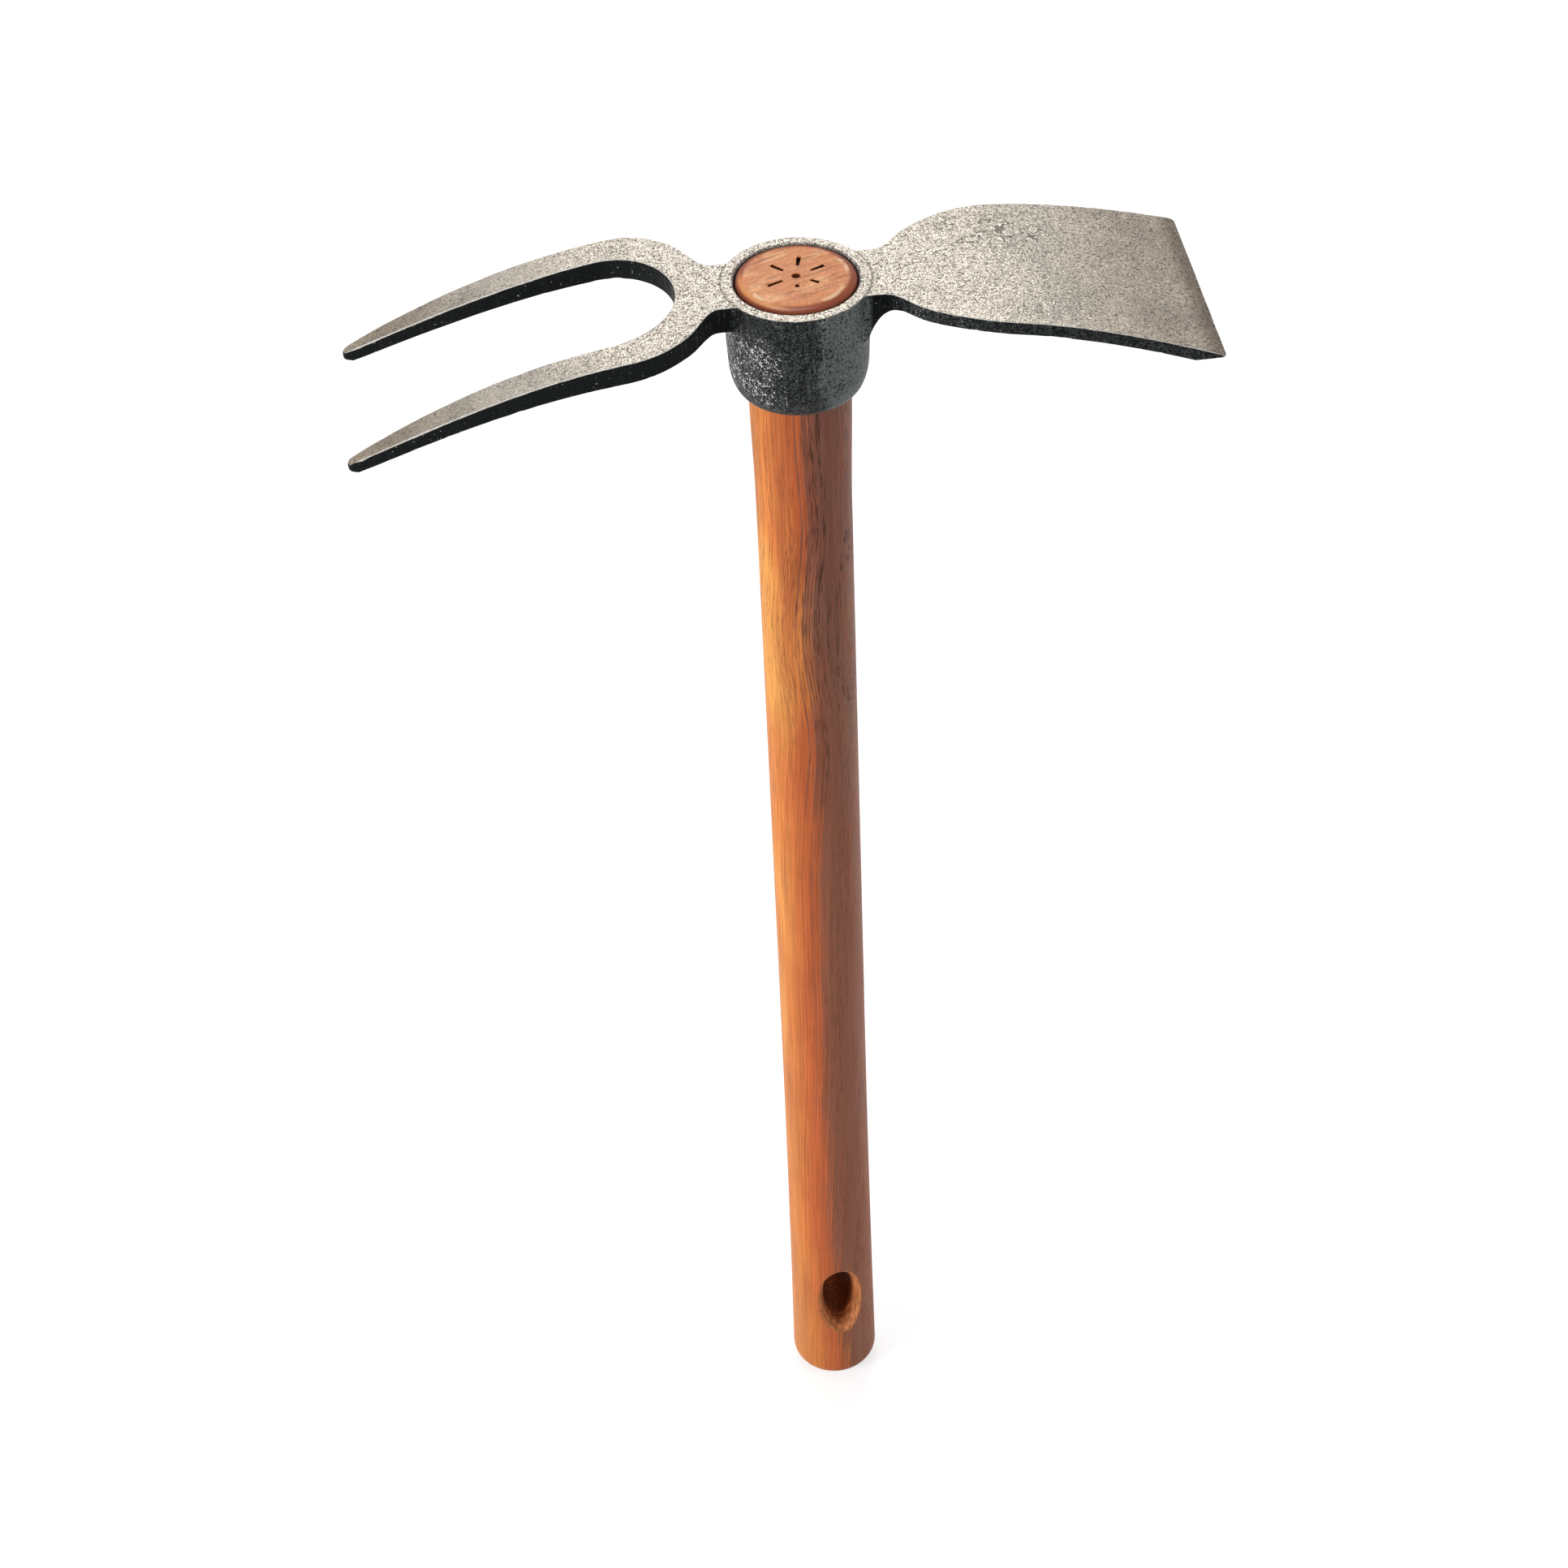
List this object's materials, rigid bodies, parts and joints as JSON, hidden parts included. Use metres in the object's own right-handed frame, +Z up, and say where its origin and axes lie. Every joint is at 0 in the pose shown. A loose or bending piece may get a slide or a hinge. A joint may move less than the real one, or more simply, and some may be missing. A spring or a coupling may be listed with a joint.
{
  "type": "combination hoe",
  "caption": "Short-handled garden hand tool: a forged head with a flat hoe blade on one side and a pronged fork on the other, on a turned wood handle with a hanging hole.",
  "frame": {"origin": "centre of the flat face at the grip end of the handle", "axes": "+Z up the handle to the head, +X out along the blade, -X out along the fork, the head is alike on both sides of the XZ plane"},
  "size_m": [0.2575, 0.0746, 0.499],
  "materials": {
    "forged_steel": "drop forged and blasted, dull, dark scale on the side walls",
    "stained_wood": "reddish brown stain and oil over open grain, satin"
  },
  "bodies": {
    "root": {"hoe_head": "forged_steel", "handle": "stained_wood"}
  },
  "joints": []
}
